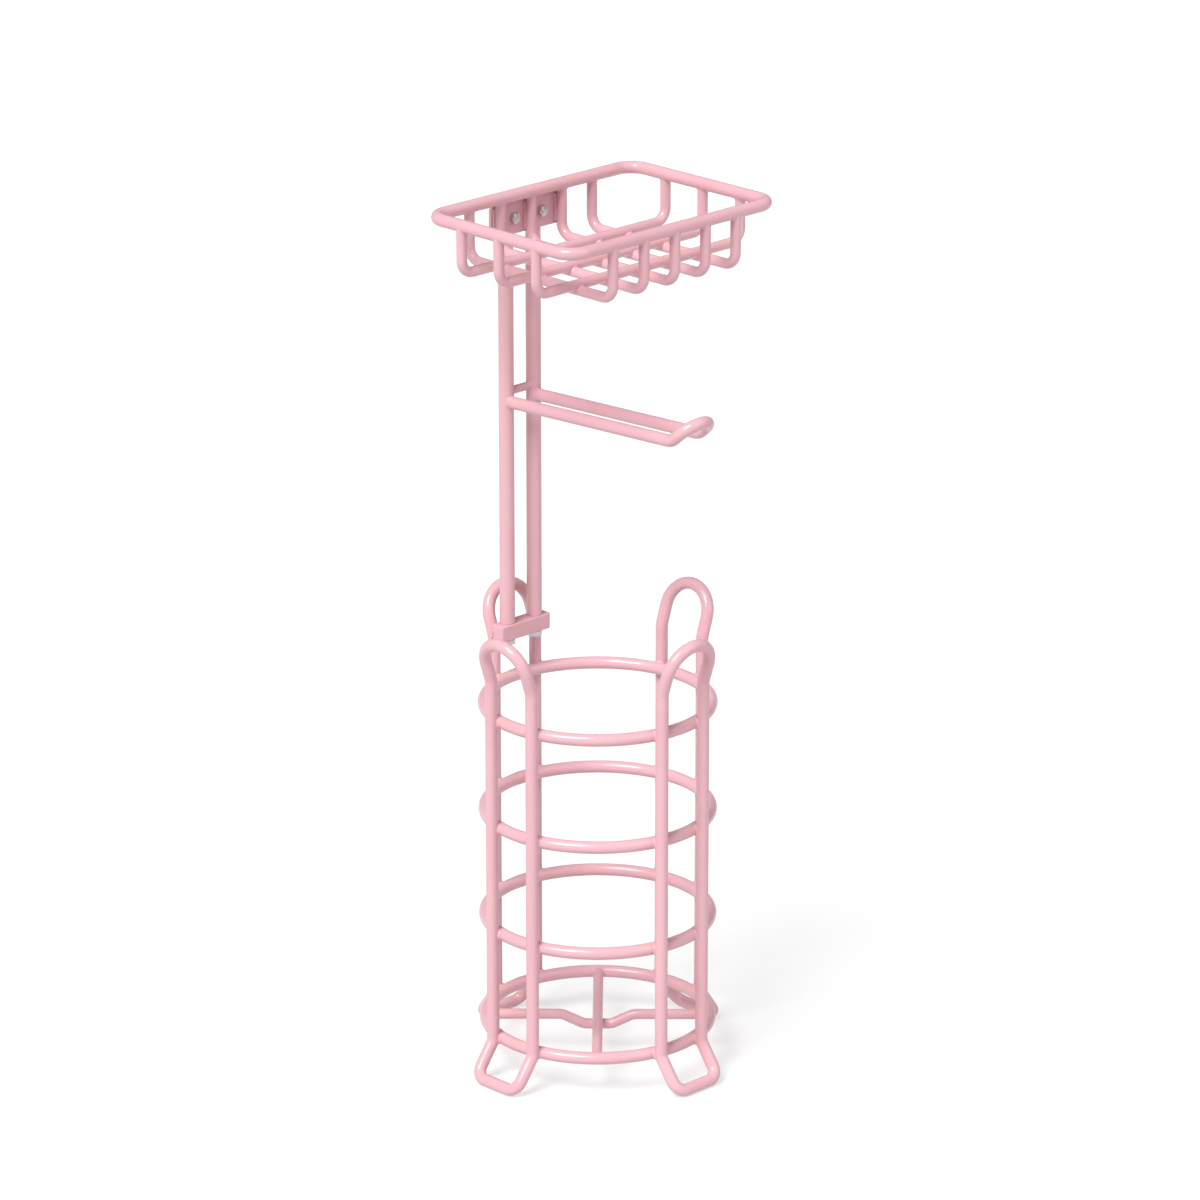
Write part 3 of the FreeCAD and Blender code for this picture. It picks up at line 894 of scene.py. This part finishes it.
# %% Put each finish on its pieces
for piece, slot in finished:
    piece.data.materials.append(coats[slot])
plugs = frame["nodes"]["post_thread_plugs"]
plugs.material_slots[0].material = coats[slot_of["post_thread_plugs"]]
print(len(finished), "pieces and the thread plugs inside the posts have their finish")

# %% [markdown]
# ## Floor, light and camera
# The stand is shown on a white sweep with soft light from the left, as in a catalogue. The floor is a
# wide disc that glows a little, as a light table does: it goes white under the lamps and stays a soft
# grey in the stand's own shadow. A darker or a plainly white floor would lose one or the other. Two wide,
# far lamps give the long, gentle highlights that round wires show. The camera sees the floor and the
# white surround brighter than the stand does, because too much light from below and behind would flatten
# the wires. The camera is far off with a long lens, so that the upright wires stay almost parallel.

# %% Floor
floor_r = 9.0
floor_thickness = 0.02
floor_seen, floor_lit = 0.60, 0.44


def seen_or_lit(tree, strength, seen, lit):
    """Gives a strength one value for the camera's own rays and another for light that reaches the stand."""
    ray = tree.nodes.new("ShaderNodeLightPath")
    choice = tree.nodes.new("ShaderNodeMapRange")
    choice.inputs["To Min"].default_value = lit
    choice.inputs["To Max"].default_value = seen
    tree.links.new(ray.outputs["Is Camera Ray"], choice.inputs["Value"])
    tree.links.new(choice.outputs["Result"], strength)


slab = profile((1, -floor_thickness), (floor_r, -floor_thickness), (floor_r, 0), (1, 0))
floor = skin("floor", [turned(*slab, 0 * UP, UP)])
sweep = bpy.data.materials.new("white_sweep")
sweep.use_nodes = True
sweep_shader = sweep.node_tree.nodes["Principled BSDF"]
sweep_shader.inputs["Base Color"].default_value = (0.38, 0.38, 0.38, 1)
sweep_shader.inputs["Emission Color"].default_value = (1, 1, 1, 1)
seen_or_lit(sweep.node_tree, sweep_shader.inputs["Emission Strength"], floor_seen, floor_lit)
sweep_shader.inputs["Roughness"].default_value = 0.9
sweep_shader.inputs["Specular IOR Level"].default_value = 0.0
floor.data.materials.append(sweep)

# %% Lamps and surround
view_turn = -44.61
view_lift = 19.07
aim_height = 0.34832
surround_seen, surround_lit = 1.0, 0.33


def direction(turn, lift):
    """Unit vector towards a place round the stand, in degrees: turn 0 is in front, lift 0 is level."""
    turn, lift = math.radians(turn), math.radians(lift)
    return math.cos(lift) * (math.sin(turn) * RIGHT - math.cos(turn) * BACK) + math.sin(lift) * UP


def look_at(thing, place, aim):
    """Puts a lamp or a camera at a place and points it at the aim, with its own up kept upright."""
    back = unit(place - aim)
    right = unit(np.cross(UP, back))
    turn = np.eye(4)
    turn[:3, :3] = np.stack([right, np.cross(back, right), back], axis=1)
    turn[:3, 3] = place
    thing.matrix_world = Matrix(turn)


def soft_lamp(name, turn, lift, width, strength):
    """A far lamp that fills an angle of the sky, in degrees, so the floor is lit evenly."""
    lamp = bpy.data.lights.new(name, "SUN")
    lamp.angle = math.radians(width)
    lamp.energy = strength
    holder = bpy.data.objects.new(name, lamp)
    bpy.context.scene.collection.objects.link(holder)
    look_at(holder, direction(turn, lift), 0 * UP)
    print("lamp:", name, strength)


soft_lamp("key", turn=view_turn - 35, lift=50, width=30, strength=3.55)
soft_lamp("fill", turn=view_turn + 60, lift=35, width=45, strength=0.65)
world = bpy.data.worlds.new("surround")
world.use_nodes = True
sky = world.node_tree.nodes["Background"]
sky.inputs["Color"].default_value = (1, 1, 1, 1)
seen_or_lit(world.node_tree, sky.inputs["Strength"], surround_seen, surround_lit)
bpy.context.scene.world = world
bpy.context.scene.view_settings.view_transform = "Standard"

# %% Camera
view_distance = 4.3
aim_right = 0.00166
picture_side = 1200
focal_pixels = 6039.6
camera = bpy.data.cameras.new("camera")
camera.sensor_width = 36.0
camera.lens = camera.sensor_width * focal_pixels / picture_side
viewer = bpy.data.objects.new("camera", camera)
bpy.context.scene.collection.objects.link(viewer)
sight = direction(view_turn, view_lift)
aim = aim_height * UP + aim_right * unit(np.cross(UP, sight))
look_at(viewer, aim + view_distance * sight, aim)
bpy.context.scene.camera = viewer
print("camera: lens", round(camera.lens, 1), "mm at", view_distance, "m")
